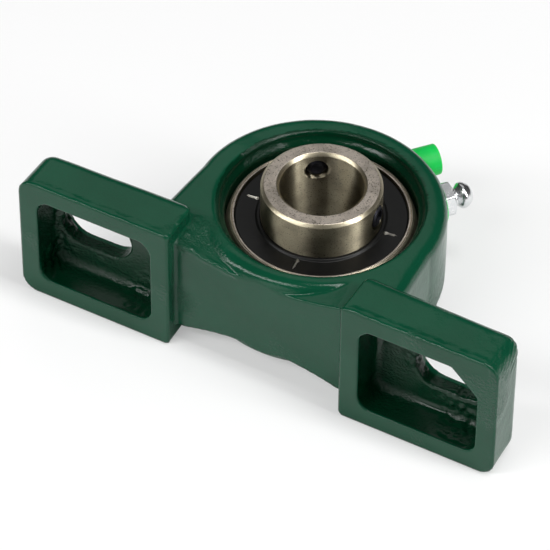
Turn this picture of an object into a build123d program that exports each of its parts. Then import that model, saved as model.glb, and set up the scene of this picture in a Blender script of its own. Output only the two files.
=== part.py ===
from build123d import *
import math
import os

# Pillow block bearing with a self-aligning ball bearing insert for a 20 mm shaft.
# Millimetres. +Z is up and the base stands on z = 0 with its centre at the origin.
# X runs along the base, and the shaft axis is parallel to Y, with the set screws at the -Y end.

# Driving sizes of the housing
centre_height = 33.3
base_length = 127.0
base_width = 36.0
bolt_spacing = 95.0
slot_width = 11.6
slot_length = 19.0
foot_height = 14.0
foot_fall = 1.0
foot_gap = 45.5
foot_corner = 4.0
foot_inner_corner = 1.2
foot_round = 3.6
base_edge = 0.4
pocket_wall = 5.0
pocket_side_wall = 5.2
pocket_depth = 8.6
pocket_corner = 3.6
core_scar = 6.8
pocket_round = 2.0
arch_height = 3.3
hub_wall = 6.7
hub_inset = 4.4
hub_round = 3.1
waist_inset = 7.6
waist_spread = 41.6
flare_angle = 4.0
hub_lean = 1.2
casting_draft = 1.5
web_blend = 0.6
mouth_clearance = 1.0
mouth_step = 1.3
mouth_step_depth = 3.4
lip_flare = 2.4
lip_depth = 1.0
slot_clearance = 0.15

# Driving sizes of the bearing insert
shaft_diameter = 20.0
outer_diameter = 47.0
outer_width = 17.0
inner_front = 18.3
inner_rear = 12.7
collar_wall = 4.5
ball_share = 0.588
ball_count = 8
race_ratio = 0.52
race_clearance = 0.03
outer_shoulder = 1.8
seal_rim = 1.159
seal_recess = 2.5
seal_thickness = 0.9
seal_clearance = 0.1
slinger_thickness = 0.6
slinger_clearance = 0.3
slinger_hub = 0.8
slinger_lip = 0.5
crease_count = 4
crease_angle = 8.0
crease_width = 0.6
crease_height = 0.3
crease_share = 0.7
cage_share = 0.674
cage_sheet = 0.5
cage_clearance = 0.12
rivet_diameter = 1.3
rivet_head_diameter = 2.2
rivet_head_height = 0.5
bore_chamfer = 0.8
collar_chamfer = 0.8
ring_chamfer = 0.35
seat_clearance = 0.03

# Driving sizes of the set screws
screw_diameter = 6.0
screw_length = 4.4
screw_from_face = 5.0
screw_setback = 0.3
screw_socket = 3.0
screw_socket_depth = 1.8
screw_cup = 3.4
screw_cup_depth = 0.5
screw_clearance = 0.05
screw_angles = (5.0, 125.0)

# Driving sizes of the grease nipple and its dust cap
nipple_angle = 50.0
nipple_y = -2.2
nipple_seat_cut = 0.7
nipple_thread = 6.0
nipple_thread_length = 4.6
nipple_hex = 8.0
nipple_hex_height = 2.8
nipple_neck = 4.2
nipple_neck_length = 1.0
nipple_head = 6.5
nipple_head_length = 4.2
nipple_band = 0.8
nipple_tip = 3.4
nipple_bore = 2.4
nipple_mouth = 1.4
nipple_mouth_depth = 0.5
check_ball_diameter = 1.9
check_ball_gap = 0.02
spring_wire = 0.25
spring_diameter = 1.85
spring_length = 3.6
spring_turns = 4
grease_drill = 2.5
groove_y = -4.4
groove_width = 2.2
groove_depth = 0.5
feed_drill = 1.4
cap_ring_diameter = 11.4
cap_ring_thickness = 1.1
strap_width = 3.2
strap_thickness = 1.0
strap_gap = 0.3
cap_diameter = 8.0
cap_bore = 6.7
cap_height = 7.2
cap_floor = 1.0
cap_offset = 14.0
cap_gap = 0.3

# Sizes that follow from the driving ones
base_half = base_width / 2
hub_base = base_half - hub_inset
waist_half = base_half - waist_inset
hub_middle = hub_base - centre_height * math.tan(math.radians(casting_draft))
foot_inner = foot_gap / 2
foot_length = base_length / 2 - foot_inner
foot_middle = foot_inner + foot_length / 2
pocket_length = foot_length - 2 * pocket_wall
pocket_width = base_width - 2 * pocket_side_wall
sphere_radius = outer_diameter / 2
seat_radius = sphere_radius + seat_clearance
outer_half = outer_width / 2
face_radius = math.sqrt(sphere_radius**2 - outer_half**2)
mouth_radius = face_radius + mouth_clearance
seat_half = math.sqrt(seat_radius**2 - mouth_radius**2)
hub_radius = sphere_radius + hub_wall
bore_radius = shaft_diameter / 2
inner_radius = bore_radius + collar_wall
pitch_radius = (bore_radius + sphere_radius) / 2
ball_radius = ball_share * (sphere_radius - bore_radius) / 2
ball_diameter = 2 * ball_radius
race_radius = race_ratio * ball_diameter
outer_race = pitch_radius + ball_radius + race_clearance
inner_race = pitch_radius - ball_radius - race_clearance
outer_land = outer_race - outer_shoulder
seal_radius = face_radius - seal_rim
seal_step = outer_half - seal_recess
slinger_inside = seal_step + seal_thickness + slinger_clearance
slinger_outside = slinger_inside + slinger_thickness
slinger_rim = seal_radius - slinger_clearance
crease_length = crease_share * (slinger_rim - inner_radius - slinger_hub)
cage_width = cage_share * (outer_land - inner_radius)
nipple_seat = hub_radius - nipple_seat_cut
hex_top = cap_ring_thickness + nipple_hex_height
nipple_top = hex_top + nipple_neck_length + nipple_head_length

shaft_axis = Axis((0, 0, centre_height), (0, 1, 0))
section_plane = Plane(origin=(0, 0, centre_height), x_dir=(1, 0, 0), z_dir=(0, 0, 1))


def shaft_plane(y):
    """Plane square to the shaft, facing +Y, with its origin on the shaft axis."""
    return Plane(origin=(0, y, centre_height), x_dir=(-1, 0, 0), z_dir=(0, 1, 0))


def radial_plane(radius, angle, y):
    """Plane square to a radius of the shaft, facing outwards, with its x axis along +Y."""
    turn = math.radians(angle)
    outward = Vector(math.cos(turn), 0, math.sin(turn))
    return Plane(origin=Vector(0, y, centre_height) + outward * radius, x_dir=(0, 1, 0), z_dir=outward)


def groove_half(land, race):
    """Half the width of a race groove where it meets its land."""
    return math.sqrt(race_radius**2 - (race_radius - abs(race - land)) ** 2)


# Housing: one iron casting, a round hub on a waisted web between two hollow feet
with BuildPart() as hub_slab:
    with BuildSketch():
        Rectangle(base_length, 2 * hub_base)
    extrude(amount=2 * centre_height, taper=casting_draft)

with BuildPart() as hub_form:
    with BuildSketch(shaft_plane(0)):
        Circle(hub_radius)
    extrude(amount=base_half, both=True)
    add(hub_slab.part, mode=Mode.INTERSECT)
    rims = hub_form.faces().sort_by(Axis.Y)
    fillet(rims[0].edges() + rims[-1].edges(), hub_round)

with BuildPart() as scoops:
    with BuildSketch():
        with BuildLine():
            spread = waist_spread / 2
            ThreePointArc((-spread, hub_base), (0, waist_half), (spread, hub_base))
            Polyline((spread, hub_base), (spread, base_half), (-spread, base_half), (-spread, hub_base))
        make_face()
        mirror(about=Plane.XZ)
    extrude(amount=centre_height)
    add(hub_form.part, mode=Mode.SUBTRACT)

with BuildPart() as feet:
    with BuildSketch() as foot_plan:
        with Locations((foot_middle, 0)):
            Rectangle(foot_length, base_width)
        fillet(foot_plan.vertices().group_by(Axis.X)[-1], foot_corner)
        fillet(foot_plan.vertices().group_by(Axis.X)[0], foot_inner_corner)
    extrude(amount=foot_height, taper=casting_draft)
    with BuildSketch(Plane.XZ):
        with BuildLine():
            Polyline(
                (foot_inner, foot_height),
                (base_length / 2, foot_height - foot_fall),
                (base_length / 2, foot_height + 1),
                (foot_inner, foot_height + 1),
                close=True,
            )
        make_face()
    extrude(amount=base_width, both=True, mode=Mode.SUBTRACT)
    fillet(feet.faces().sort_by(Axis.Z)[-1].edges(), foot_round)
    fillet(feet.faces().sort_by(Axis.Z)[0].edges(), base_edge)
    mirror(about=Plane.YZ)

with BuildPart() as housing:
    with BuildSketch(Plane.XZ):
        with BuildLine():
            flare = math.radians(flare_angle)
            side_x = hub_radius * math.cos(flare)
            side_z = centre_height - hub_radius * math.sin(flare)
            root_x = side_x + (side_z - arch_height) * math.tan(flare)
            far_x = -side_x - hub_lean
            ThreePointArc((side_x, side_z), (0, centre_height + hub_radius), (far_x, side_z))
            Polyline(
                (far_x, side_z),
                (-root_x - hub_lean, arch_height),
                (root_x, arch_height),
                (side_x, side_z),
            )
        make_face()
    extrude(amount=base_half, both=True)
    add(hub_slab.part, mode=Mode.INTERSECT)
    for face in (housing.faces().sort_by(Axis.Y)[0], housing.faces().sort_by(Axis.Y)[-1]):
        rim = face.edges().filter_by_position(Axis.Z, arch_height + 1, centre_height + 2 * hub_radius)
        fillet(rim, hub_round)
    add(scoops.part, mode=Mode.SUBTRACT)
    add(feet.part)
    joints = housing.edges().filter_by_position(Axis.Z, arch_height - 0.01, foot_height + 0.01)
    fillet(joints.filter_by(lambda edge: edge.is_interior), web_blend)
    # Pockets; the core of the +X one was chipped, so its outer front corner is filled
    with BuildSketch() as pockets:
        with Locations((foot_middle, 0), (-foot_middle, 0)):
            Rectangle(pocket_length, pocket_width)
        chamfer(pockets.vertices().sort_by(Axis((0, 0, 0), (1, -1, 0)))[-1], core_scar)
        fillet(pockets.vertices(), pocket_corner)
    extrude(amount=pocket_depth, taper=casting_draft, mode=Mode.SUBTRACT)
    ceilings = housing.faces().filter_by(Axis.Z).filter_by_position(
        Axis.Z, pocket_depth - 0.01, pocket_depth + 0.01
    )
    fillet(ceilings.edges(), pocket_round)
    with BuildSketch():
        with Locations((bolt_spacing / 2, 0), (-bolt_spacing / 2, 0)):
            SlotOverall(slot_length, slot_width)
    extrude(amount=foot_height + 1, mode=Mode.SUBTRACT)
    # Mouth and spherical seat of the insert
    with BuildSketch(section_plane):
        with BuildLine():
            lip_radius = mouth_radius + lip_flare
            step_radius = mouth_radius + mouth_step
            lip_slope = (lip_radius - step_radius) / lip_depth
            mouth_side = [
                (mouth_radius, seat_half),
                (mouth_radius, hub_middle - mouth_step_depth),
                (step_radius, hub_middle - mouth_step_depth + mouth_step),
                (step_radius, hub_middle - lip_depth),
                (lip_radius + lip_slope, hub_middle + 1),
                (0, hub_middle + 1),
            ]
            Polyline(*mouth_side, *[(radius, -y) for radius, y in reversed(mouth_side)])
            ThreePointArc((mouth_radius, seat_half), (seat_radius, 0), (mouth_radius, -seat_half))
        make_face()
    revolve(axis=shaft_axis, mode=Mode.SUBTRACT)
    # Loading slots at the back, which let the insert in edgewise
    with BuildSketch(shaft_plane(0)):
        Rectangle(outer_diameter + 2 * slot_clearance, outer_width + 2 * slot_clearance)
    extrude(amount=base_half, mode=Mode.SUBTRACT)
    # Flat seat, thread and drilling of the grease nipple
    with BuildSketch(radial_plane(nipple_seat, nipple_angle, nipple_y)):
        Circle(cap_ring_diameter / 2 + 0.5)
    extrude(amount=2 * nipple_seat_cut, mode=Mode.SUBTRACT)
    with BuildSketch(radial_plane(nipple_seat, nipple_angle, nipple_y)):
        Circle(nipple_thread / 2 + 0.05)
    extrude(amount=-nipple_thread_length - 0.3, mode=Mode.SUBTRACT)
    with BuildSketch(radial_plane(nipple_seat, nipple_angle, nipple_y)):
        Circle(grease_drill / 2)
    extrude(amount=-(nipple_seat - seat_radius) - 0.5, mode=Mode.SUBTRACT)
housing.part.label = "housing"

# Outer ring: spherical outside, deep race groove, stepped for the seals, with a grease groove
with BuildPart() as outer_ring:
    with BuildSketch(section_plane):
        with BuildLine():
            race_half = groove_half(outer_land, outer_race)
            corner_y = outer_half - ring_chamfer
            corner_radius = math.sqrt(sphere_radius**2 - corner_y**2)
            ThreePointArc((corner_radius, -corner_y), (sphere_radius, 0), (corner_radius, corner_y))
            Polyline(
                (corner_radius, corner_y),
                (face_radius - ring_chamfer, outer_half),
                (seal_radius, outer_half),
                (seal_radius, seal_step),
                (outer_land, seal_step),
                (outer_land, race_half),
            )
            ThreePointArc((outer_land, race_half), (outer_race, 0), (outer_land, -race_half))
            Polyline(
                (outer_land, -race_half),
                (outer_land, -seal_step),
                (seal_radius, -seal_step),
                (seal_radius, -outer_half),
                (face_radius - ring_chamfer, -outer_half),
                (corner_radius, -corner_y),
            )
        make_face()
    revolve(axis=shaft_axis)
    with BuildSketch(section_plane):
        groove_bottom = math.sqrt(sphere_radius**2 - groove_y**2) - groove_depth
        with Locations((sphere_radius, groove_y)):
            Rectangle(2 * (sphere_radius - groove_bottom), groove_width)
    revolve(axis=shaft_axis, mode=Mode.SUBTRACT)
    with BuildSketch(radial_plane(outer_land - 0.5, nipple_angle, groove_y)):
        Circle(feed_drill / 2)
    extrude(amount=sphere_radius - outer_land + 1, mode=Mode.SUBTRACT)
outer_ring.part.label = "outer_ring"

# Inner ring: long collar towards -Y with two tapped holes for the set screws
with BuildPart() as inner_ring:
    with BuildSketch(section_plane):
        with BuildLine():
            race_half = groove_half(inner_radius, inner_race)
            Polyline(
                (inner_radius, -race_half),
                (inner_radius, -inner_front + collar_chamfer),
                (inner_radius - collar_chamfer, -inner_front),
                (bore_radius + bore_chamfer, -inner_front),
                (bore_radius, -inner_front + bore_chamfer),
                (bore_radius, inner_rear - bore_chamfer),
                (bore_radius + bore_chamfer, inner_rear),
                (inner_radius - collar_chamfer, inner_rear),
                (inner_radius, inner_rear - collar_chamfer),
                (inner_radius, race_half),
            )
            ThreePointArc((inner_radius, race_half), (inner_race, 0), (inner_radius, -race_half))
        make_face()
    revolve(axis=shaft_axis)
    for angle in screw_angles:
        with BuildSketch(radial_plane(bore_radius - 1, angle, -inner_front + screw_from_face)):
            Circle(screw_diameter / 2 + screw_clearance)
        extrude(amount=inner_radius - bore_radius + 2, mode=Mode.SUBTRACT)
inner_ring.part.label = "inner_ring"


def make_set_screw(angle):
    """Hexagon socket set screw with a cup point, standing on its radius of the collar."""
    screw_y = -inner_front + screw_from_face
    tip = bore_radius + screw_setback
    with BuildPart() as screw:
        with BuildSketch(radial_plane(tip, angle, screw_y)):
            Circle(screw_diameter / 2)
        extrude(amount=screw_length)
        ends = screw.edges().filter_by(GeomType.CIRCLE)
        chamfer(ends, (screw_diameter - screw_cup) / 4)
        with BuildSketch(radial_plane(tip, angle, screw_y)):
            Circle(screw_cup / 2 - 0.2)
        extrude(amount=screw_cup_depth, taper=40, mode=Mode.SUBTRACT)
        with BuildSketch(radial_plane(tip + screw_length, angle, screw_y)):
            RegularPolygon(screw_socket / 2, 6, major_radius=False)
        extrude(amount=-screw_socket_depth, mode=Mode.SUBTRACT)
    return screw.part


set_screws = [make_set_screw(angle) for angle in screw_angles]


# Seals: a stiff disc with a thin lip that rides just clear of the inner ring
def make_seal(side):
    """Seal pressed against the step of the outer ring; side is -1 in front and 1 behind."""
    with BuildPart() as seal:
        with BuildSketch(section_plane):
            with BuildLine():
                lip = inner_radius + seal_clearance
                Polyline(
                    (seal_radius, side * seal_step),
                    (seal_radius, side * (seal_step + seal_thickness)),
                    (lip + 0.5, side * (seal_step + seal_thickness)),
                    (lip, side * (seal_step + 0.5 * seal_thickness)),
                    (lip, side * (seal_step + 0.1)),
                    (lip + 1.2, side * seal_step),
                    close=True,
                )
            make_face()
        revolve(axis=shaft_axis)
    return seal.part


# Slingers: stamped steel discs that turn with the inner ring, with four radial creases
def make_slinger(side):
    """Slinger pressed on the inner ring just outside a seal, with a turned up inner edge."""
    outside = side * slinger_outside
    with BuildPart() as slinger:
        with BuildSketch(section_plane):
            with BuildLine():
                Polyline(
                    (inner_radius, side * slinger_inside),
                    (slinger_rim, side * slinger_inside),
                    (slinger_rim, outside),
                    (inner_radius + slinger_hub, outside),
                    (inner_radius + slinger_hub, outside + side * slinger_lip),
                    (inner_radius, outside + side * slinger_lip),
                    close=True,
                )
            make_face()
        revolve(axis=shaft_axis)
        crease_middle = inner_radius + slinger_hub + crease_length / 2 - 0.2
        with BuildSketch(shaft_plane(outside - side * slinger_thickness / 2)):
            with PolarLocations(crease_middle, crease_count, start_angle=180 - crease_angle):
                Rectangle(crease_length, crease_width)
        extrude(amount=side * (slinger_thickness / 2 + crease_height))
    return slinger.part


seals = {"front_seal": make_seal(-1), "rear_seal": make_seal(1)}
slingers = {"front_slinger": make_slinger(-1), "rear_slinger": make_slinger(1)}

# Balls of the bearing
pocket_angle = 360 / ball_count


def make_ball(index):
    """One steel ball on the pitch circle."""
    turn = math.radians((index + 0.5) * pocket_angle)
    centre = (pitch_radius * math.cos(turn), 0, centre_height + pitch_radius * math.sin(turn))
    with BuildPart() as ball:
        with Locations(centre):
            Sphere(ball_radius)
    return ball.part


balls = [make_ball(index) for index in range(ball_count)]


# Ribbon cage: two pressed halves whose domes hold the balls, riveted between the balls
def make_cage_half(side):
    """Half of the ribbon cage; side is -1 in front and 1 behind."""
    cage_inside = pitch_radius - cage_width / 2
    cage_outside = pitch_radius + cage_width / 2
    dome_radius = ball_radius + cage_clearance + cage_sheet
    with BuildPart() as half:
        with BuildSketch(shaft_plane(0)):
            Circle(cage_outside)
            Circle(cage_inside, mode=Mode.SUBTRACT)
        extrude(amount=side * cage_sheet)
        with Locations(shaft_plane(0)):
            with PolarLocations(pitch_radius, ball_count, start_angle=pocket_angle / 2):
                Sphere(dome_radius)
        with BuildSketch(shaft_plane(0)):
            Circle(cage_outside)
            Circle(cage_inside, mode=Mode.SUBTRACT)
        extrude(amount=side * dome_radius, mode=Mode.INTERSECT)
        with Locations(shaft_plane(0)):
            with PolarLocations(pitch_radius, ball_count, start_angle=pocket_angle / 2):
                Sphere(ball_radius + cage_clearance, mode=Mode.SUBTRACT)
            with PolarLocations(pitch_radius, ball_count):
                Cylinder(rivet_diameter / 2, 4 * cage_sheet, mode=Mode.SUBTRACT)
    return half.part


cage_halves = {"front_cage": make_cage_half(-1), "rear_cage": make_cage_half(1)}

with BuildPart() as cage_rivets:
    with Locations(shaft_plane(0)):
        with PolarLocations(pitch_radius, ball_count):
            Cylinder(rivet_diameter / 2, 2 * cage_sheet + 0.1)
    for side in (-1, 1):
        with BuildSketch(shaft_plane(side * cage_sheet)):
            with PolarLocations(pitch_radius, ball_count):
                Circle(rivet_head_diameter / 2)
        extrude(amount=side * rivet_head_height, taper=25)
cage_rivets.part.label = "cage_rivets"

# Grease nipple, turned from hexagon bar, with its bore, check ball and spring
nipple_plane = radial_plane(nipple_seat, nipple_angle, nipple_y)
nipple_axis = Axis(nipple_plane.origin, nipple_plane.z_dir)
nipple_section = Plane(nipple_plane.origin, x_dir=nipple_plane.x_dir, z_dir=-nipple_plane.y_dir)
head_start = hex_top + nipple_neck_length
head_flare = (nipple_head - nipple_neck) / 2
mouth_bottom = nipple_top - nipple_mouth_depth
check_ball_radius = check_ball_diameter / 2
check_ball_drop = math.sqrt(check_ball_radius**2 - (nipple_mouth / 2) ** 2) + check_ball_gap
check_ball_height = mouth_bottom - check_ball_drop
spring_radius = (spring_diameter - spring_wire) / 2
spring_top = check_ball_height - math.sqrt((check_ball_radius + spring_wire / 2) ** 2 - spring_radius**2)
spring_bottom = spring_top - spring_length

with BuildPart() as grease_nipple:
    with BuildSketch(nipple_plane.offset(cap_ring_thickness)):
        RegularPolygon(nipple_hex / 2, 6, major_radius=False)
    extrude(amount=nipple_hex_height)
    with BuildSketch(nipple_section):
        with BuildLine():
            bar_radius = 0.97 * nipple_hex / math.sqrt(3)
            Polyline(
                (0, cap_ring_thickness),
                (bar_radius - 0.4, cap_ring_thickness),
                (bar_radius, cap_ring_thickness + 0.3),
                (bar_radius, hex_top - 0.4),
                (bar_radius - 0.6, hex_top),
                (0, hex_top),
                close=True,
            )
        make_face()
    revolve(axis=nipple_axis, mode=Mode.INTERSECT)
    with BuildSketch(nipple_section):
        with BuildLine():
            Polyline(
                (0, -nipple_thread_length),
                (nipple_thread / 2 - 0.4, -nipple_thread_length),
                (nipple_thread / 2, -nipple_thread_length + 0.4),
                (nipple_thread / 2, hex_top / 2),
                (nipple_neck / 2, hex_top / 2),
                (nipple_neck / 2, head_start),
                (nipple_head / 2, head_start + head_flare),
                (nipple_head / 2, head_start + head_flare + nipple_band),
                (nipple_tip / 2, nipple_top),
                (0, nipple_top),
                close=True,
            )
        make_face()
    revolve(axis=nipple_axis)
    with BuildSketch(nipple_section):
        with BuildLine():
            Polyline(
                (0, -nipple_thread_length),
                (nipple_mouth / 2, -nipple_thread_length),
                (nipple_mouth / 2, spring_bottom - spring_wire / 2),
                (nipple_bore / 2, spring_bottom - spring_wire / 2),
                (nipple_bore / 2, mouth_bottom),
                (nipple_mouth / 2, mouth_bottom),
                (nipple_mouth / 2, nipple_top),
                (0, nipple_top),
                close=True,
            )
        make_face()
    revolve(axis=nipple_axis, mode=Mode.SUBTRACT)
grease_nipple.part.label = "grease_nipple"

with BuildPart() as nipple_ball:
    with Locations(nipple_plane.offset(check_ball_height)):
        Sphere(check_ball_radius)
nipple_ball.part.label = "nipple_ball"

with BuildPart() as nipple_spring:
    with BuildLine():
        spring_base = nipple_plane.offset(spring_bottom)
        coil = Helix(
            spring_length / spring_turns,
            spring_length,
            spring_radius,
            center=spring_base.origin,
            direction=spring_base.z_dir,
        )
    with BuildSketch(Plane(origin=coil @ 0, z_dir=coil % 0)):
        RegularPolygon(spring_wire / 2, 6)
    sweep(path=coil, is_frenet=True)
nipple_spring.part.label = "nipple_spring"

# Dust cap: a retaining ring held under the nipple's hexagon, and the cap with its strap
with BuildPart() as cap_ring:
    with BuildSketch(nipple_plane):
        Circle(cap_ring_diameter / 2)
        Circle(nipple_thread / 2 + 0.1, mode=Mode.SUBTRACT)
    extrude(amount=cap_ring_thickness)
    fillet(cap_ring.edges().filter_by(GeomType.CIRCLE).sort_by(SortBy.RADIUS)[-2:], 0.3)
cap_ring.part.label = "cap_ring"

cap_base = math.sqrt(hub_radius**2 - (cap_offset - cap_diameter / 2) ** 2) + cap_gap - nipple_seat
strap_inside = hub_radius + cap_gap
strap_outside = strap_inside + strap_thickness


def strap_point(radius, reach):
    """Point of the strap's side view at a radius of the shaft and a reach from the nipple."""
    return (reach, math.sqrt(radius**2 - reach**2) - nipple_seat)


strap_plane = Plane(nipple_plane.origin, x_dir=nipple_plane.y_dir, z_dir=nipple_plane.x_dir)

with BuildPart() as nipple_cap:
    with BuildSketch(strap_plane):
        with BuildLine():
            near = cap_ring_diameter / 2 + strap_gap
            far = cap_offset - cap_diameter / 4
            middle = (near + far) / 2
            ThreePointArc(
                strap_point(strap_inside, near),
                strap_point(strap_inside, middle),
                strap_point(strap_inside, far),
            )
            Line(strap_point(strap_inside, far), strap_point(strap_outside, far))
            ThreePointArc(
                strap_point(strap_outside, far),
                strap_point(strap_outside, middle),
                strap_point(strap_outside, near),
            )
            Line(strap_point(strap_outside, near), strap_point(strap_inside, near))
        make_face()
    extrude(amount=strap_width / 2, both=True)
    with BuildSketch(nipple_plane.offset(cap_base)):
        with Locations((0, cap_offset)):
            Circle(cap_diameter / 2)
    extrude(amount=cap_height)
    with BuildSketch(nipple_plane.offset(cap_base + cap_floor)):
        with Locations((0, cap_offset)):
            Circle(cap_bore / 2)
    extrude(amount=cap_height - cap_floor, mode=Mode.SUBTRACT)
nipple_cap.part.label = "nipple_cap"

pieces = [housing.part, outer_ring.part, inner_ring.part, cage_rivets.part, grease_nipple.part]
pieces += [nipple_ball.part, nipple_spring.part, cap_ring.part, nipple_cap.part]
for name, piece in {**seals, **slingers, **cage_halves}.items():
    piece.label = name
    pieces.append(piece)
for number, piece in enumerate(set_screws, start=1):
    piece.label = f"set_screw_{number}"
    pieces.append(piece)
for number, piece in enumerate(balls, start=1):
    piece.label = f"ball_{number}"
    pieces.append(piece)

os.makedirs("parts", exist_ok=True)
for piece in pieces:
    export_step(piece, f"parts/{piece.label}.step")
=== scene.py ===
import math

import bmesh
import bpy
from mathutils import Matrix, Vector, noise


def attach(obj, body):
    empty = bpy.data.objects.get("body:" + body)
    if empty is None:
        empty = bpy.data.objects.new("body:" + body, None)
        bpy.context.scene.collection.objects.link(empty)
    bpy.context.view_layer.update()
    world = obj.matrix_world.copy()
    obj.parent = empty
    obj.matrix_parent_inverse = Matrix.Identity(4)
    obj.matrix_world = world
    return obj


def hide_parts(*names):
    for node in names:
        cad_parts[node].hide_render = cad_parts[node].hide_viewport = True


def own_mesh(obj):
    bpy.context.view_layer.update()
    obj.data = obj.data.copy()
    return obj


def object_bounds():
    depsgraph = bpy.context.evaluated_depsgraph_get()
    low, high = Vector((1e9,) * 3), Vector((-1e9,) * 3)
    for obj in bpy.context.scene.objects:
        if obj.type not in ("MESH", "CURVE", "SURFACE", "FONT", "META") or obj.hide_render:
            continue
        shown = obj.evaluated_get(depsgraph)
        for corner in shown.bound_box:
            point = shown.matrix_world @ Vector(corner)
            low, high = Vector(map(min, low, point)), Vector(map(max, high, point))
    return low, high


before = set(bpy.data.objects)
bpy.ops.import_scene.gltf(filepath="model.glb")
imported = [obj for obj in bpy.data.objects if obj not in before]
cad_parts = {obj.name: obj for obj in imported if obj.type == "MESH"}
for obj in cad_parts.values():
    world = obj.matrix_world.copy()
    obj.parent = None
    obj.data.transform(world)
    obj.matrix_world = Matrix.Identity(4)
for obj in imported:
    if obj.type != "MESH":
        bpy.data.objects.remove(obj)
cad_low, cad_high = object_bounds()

MM = 0.001

# Studio: a white paper sweep stands behind the part, because the part lies on its back in the photo.
# Soft boxes stand left and right of the camera with a darker gap between them, and a small one in
# front. Weak ones at the back and below light the sides that the camera doesn't see.
camera_place = Vector((321.389, -683.645, -576.335)) * MM
camera_aim = Vector((-3.667, 0.0, 17.38)) * MM
camera_roll = math.radians(0.463)
camera_lens = 266.89
sweep_y = cad_high.y
sweep_size = 3.0
paper_white = "F6F6F6"
paper_glow = 0.36
sky_fill = 0.15
ceiling_dark = 0.03
ceiling_edge = (-0.1, 0.12)
lying_up = Vector((0, -1, 0))


def linear(code):
    """Linear colour of an sRGB hex code such as 1F4834."""
    parts = [int(code[i:i + 2], 16) / 255 for i in (0, 2, 4)]
    return tuple(c / 12.92 if c <= 0.04045 else ((c + 0.055) / 1.055) ** 2.4 for c in parts)


def colour(code):
    """The same colour with full alpha, as a socket takes it."""
    return (*linear(code), 1.0)


def add_node(tree, kind, inputs=(), **settings):
    """Adds a node; inputs pairs a socket's name or number with a value or with another socket."""
    node = tree.nodes.new(kind)
    for name, value in settings.items():
        setattr(node, name, value)
    for name, value in dict(inputs).items():
        if isinstance(value, bpy.types.NodeSocket):
            tree.links.new(value, node.inputs[name])
        else:
            node.inputs[name].default_value = value
    return node


def new_material(name):
    """Empty node material and its tree."""
    material = bpy.data.materials.new(name)
    material.use_nodes = True
    material.node_tree.nodes.clear()
    return material, material.node_tree


bpy.context.scene.view_settings.view_transform = "Standard"
camera = bpy.data.objects.new("camera", bpy.data.cameras.new("camera"))
bpy.context.scene.collection.objects.link(camera)
bpy.context.scene.camera = camera
camera.data.lens = camera_lens
camera.data.sensor_width = 36.0
camera.data.clip_start = 0.01
camera.data.clip_end = 20.0
backward = (camera_place - camera_aim).normalized()
rightward = lying_up.cross(backward).normalized()
upward = backward.cross(rightward)
basis = Matrix((rightward, upward, backward)).transposed().to_4x4()
camera.matrix_world = Matrix.Translation(camera_place) @ basis @ Matrix.Rotation(camera_roll, 4, "Z")

# White paper: a little glow for the camera alone makes it nearly white, and it still takes the part's
# soft shadow. It is clear from behind and to the lamps' light, so views from behind show the part.
sweep_mesh = bpy.data.meshes.new("sweep")
half = sweep_size / 2
sweep_mesh.from_pydata(
    [(-half, sweep_y, -half), (half, sweep_y, -half), (half, sweep_y, half), (-half, sweep_y, half)],
    [], [(0, 1, 2, 3)])
sweep = bpy.data.objects.new("sweep", sweep_mesh)
bpy.context.scene.collection.objects.link(sweep)
sweep_paper, tree = new_material("white_paper_sweep")
path = add_node(tree, "ShaderNodeLightPath")
share = add_node(tree, "ShaderNodeMath", operation="MULTIPLY", inputs={
    0: path.outputs["Is Camera Ray"], 1: paper_glow})
paper = add_node(tree, "ShaderNodeBsdfDiffuse", {"Color": colour(paper_white)})
glow = add_node(tree, "ShaderNodeEmission", {"Color": colour("FFFFFF"), "Strength": 1.0})
lit = add_node(tree, "ShaderNodeMixShader", {0: share.outputs[0], 1: paper.outputs[0], 2: glow.outputs[0]})
clear = add_node(tree, "ShaderNodeBsdfTransparent")
facing = add_node(tree, "ShaderNodeNewGeometry")
open_way = add_node(tree, "ShaderNodeMath", operation="MAXIMUM", inputs={
    0: facing.outputs["Backfacing"], 1: path.outputs["Is Shadow Ray"]})
mixed = add_node(tree, "ShaderNodeMixShader", {
    0: open_way.outputs[0], 1: lit.outputs[0], 2: clear.outputs[0]})
add_node(tree, "ShaderNodeOutputMaterial", {"Surface": mixed.outputs[0]})
sweep_mesh.materials.append(sweep_paper)

# World: the eye sees white, shiny faces see white below and a dark ceiling above the lying part, and
# everything else gets a weak even fill
world = bpy.data.worlds.new("studio")
bpy.context.scene.world = world
world.use_nodes = True
tree = world.node_tree
tree.nodes.clear()
path = add_node(tree, "ShaderNodeLightPath")
direction = add_node(tree, "ShaderNodeTexCoord")
height = add_node(tree, "ShaderNodeSeparateXYZ", {0: direction.outputs["Generated"]})
ceiling = add_node(tree, "ShaderNodeMapRange", interpolation_type="SMOOTHSTEP", inputs={
    "Value": height.outputs["Y"], "From Min": ceiling_edge[0], "From Max": ceiling_edge[1],
    "To Min": ceiling_dark, "To Max": 1.0})
shiny = add_node(tree, "ShaderNodeMix", data_type="FLOAT", inputs={
    0: path.outputs["Is Glossy Ray"], 2: sky_fill, 3: ceiling.outputs[0]})
plain = add_node(tree, "ShaderNodeMath", operation="MAXIMUM", inputs={
    0: path.outputs["Is Camera Ray"], 1: path.outputs["Is Transmission Ray"]})
strength = add_node(tree, "ShaderNodeMix", data_type="FLOAT", inputs={
    0: plain.outputs[0], 2: shiny.outputs[0], 3: 1.0})
backdrop = add_node(tree, "ShaderNodeBackground", {
    "Color": colour("FFFFFF"), "Strength": strength.outputs[0]})
add_node(tree, "ShaderNodeOutputWorld", {"Surface": backdrop.outputs[0]})

middle = Vector((0, 0, 30.0)) * MM
to_camera = Vector((backward.x, 0, backward.z)).normalized()


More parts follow.
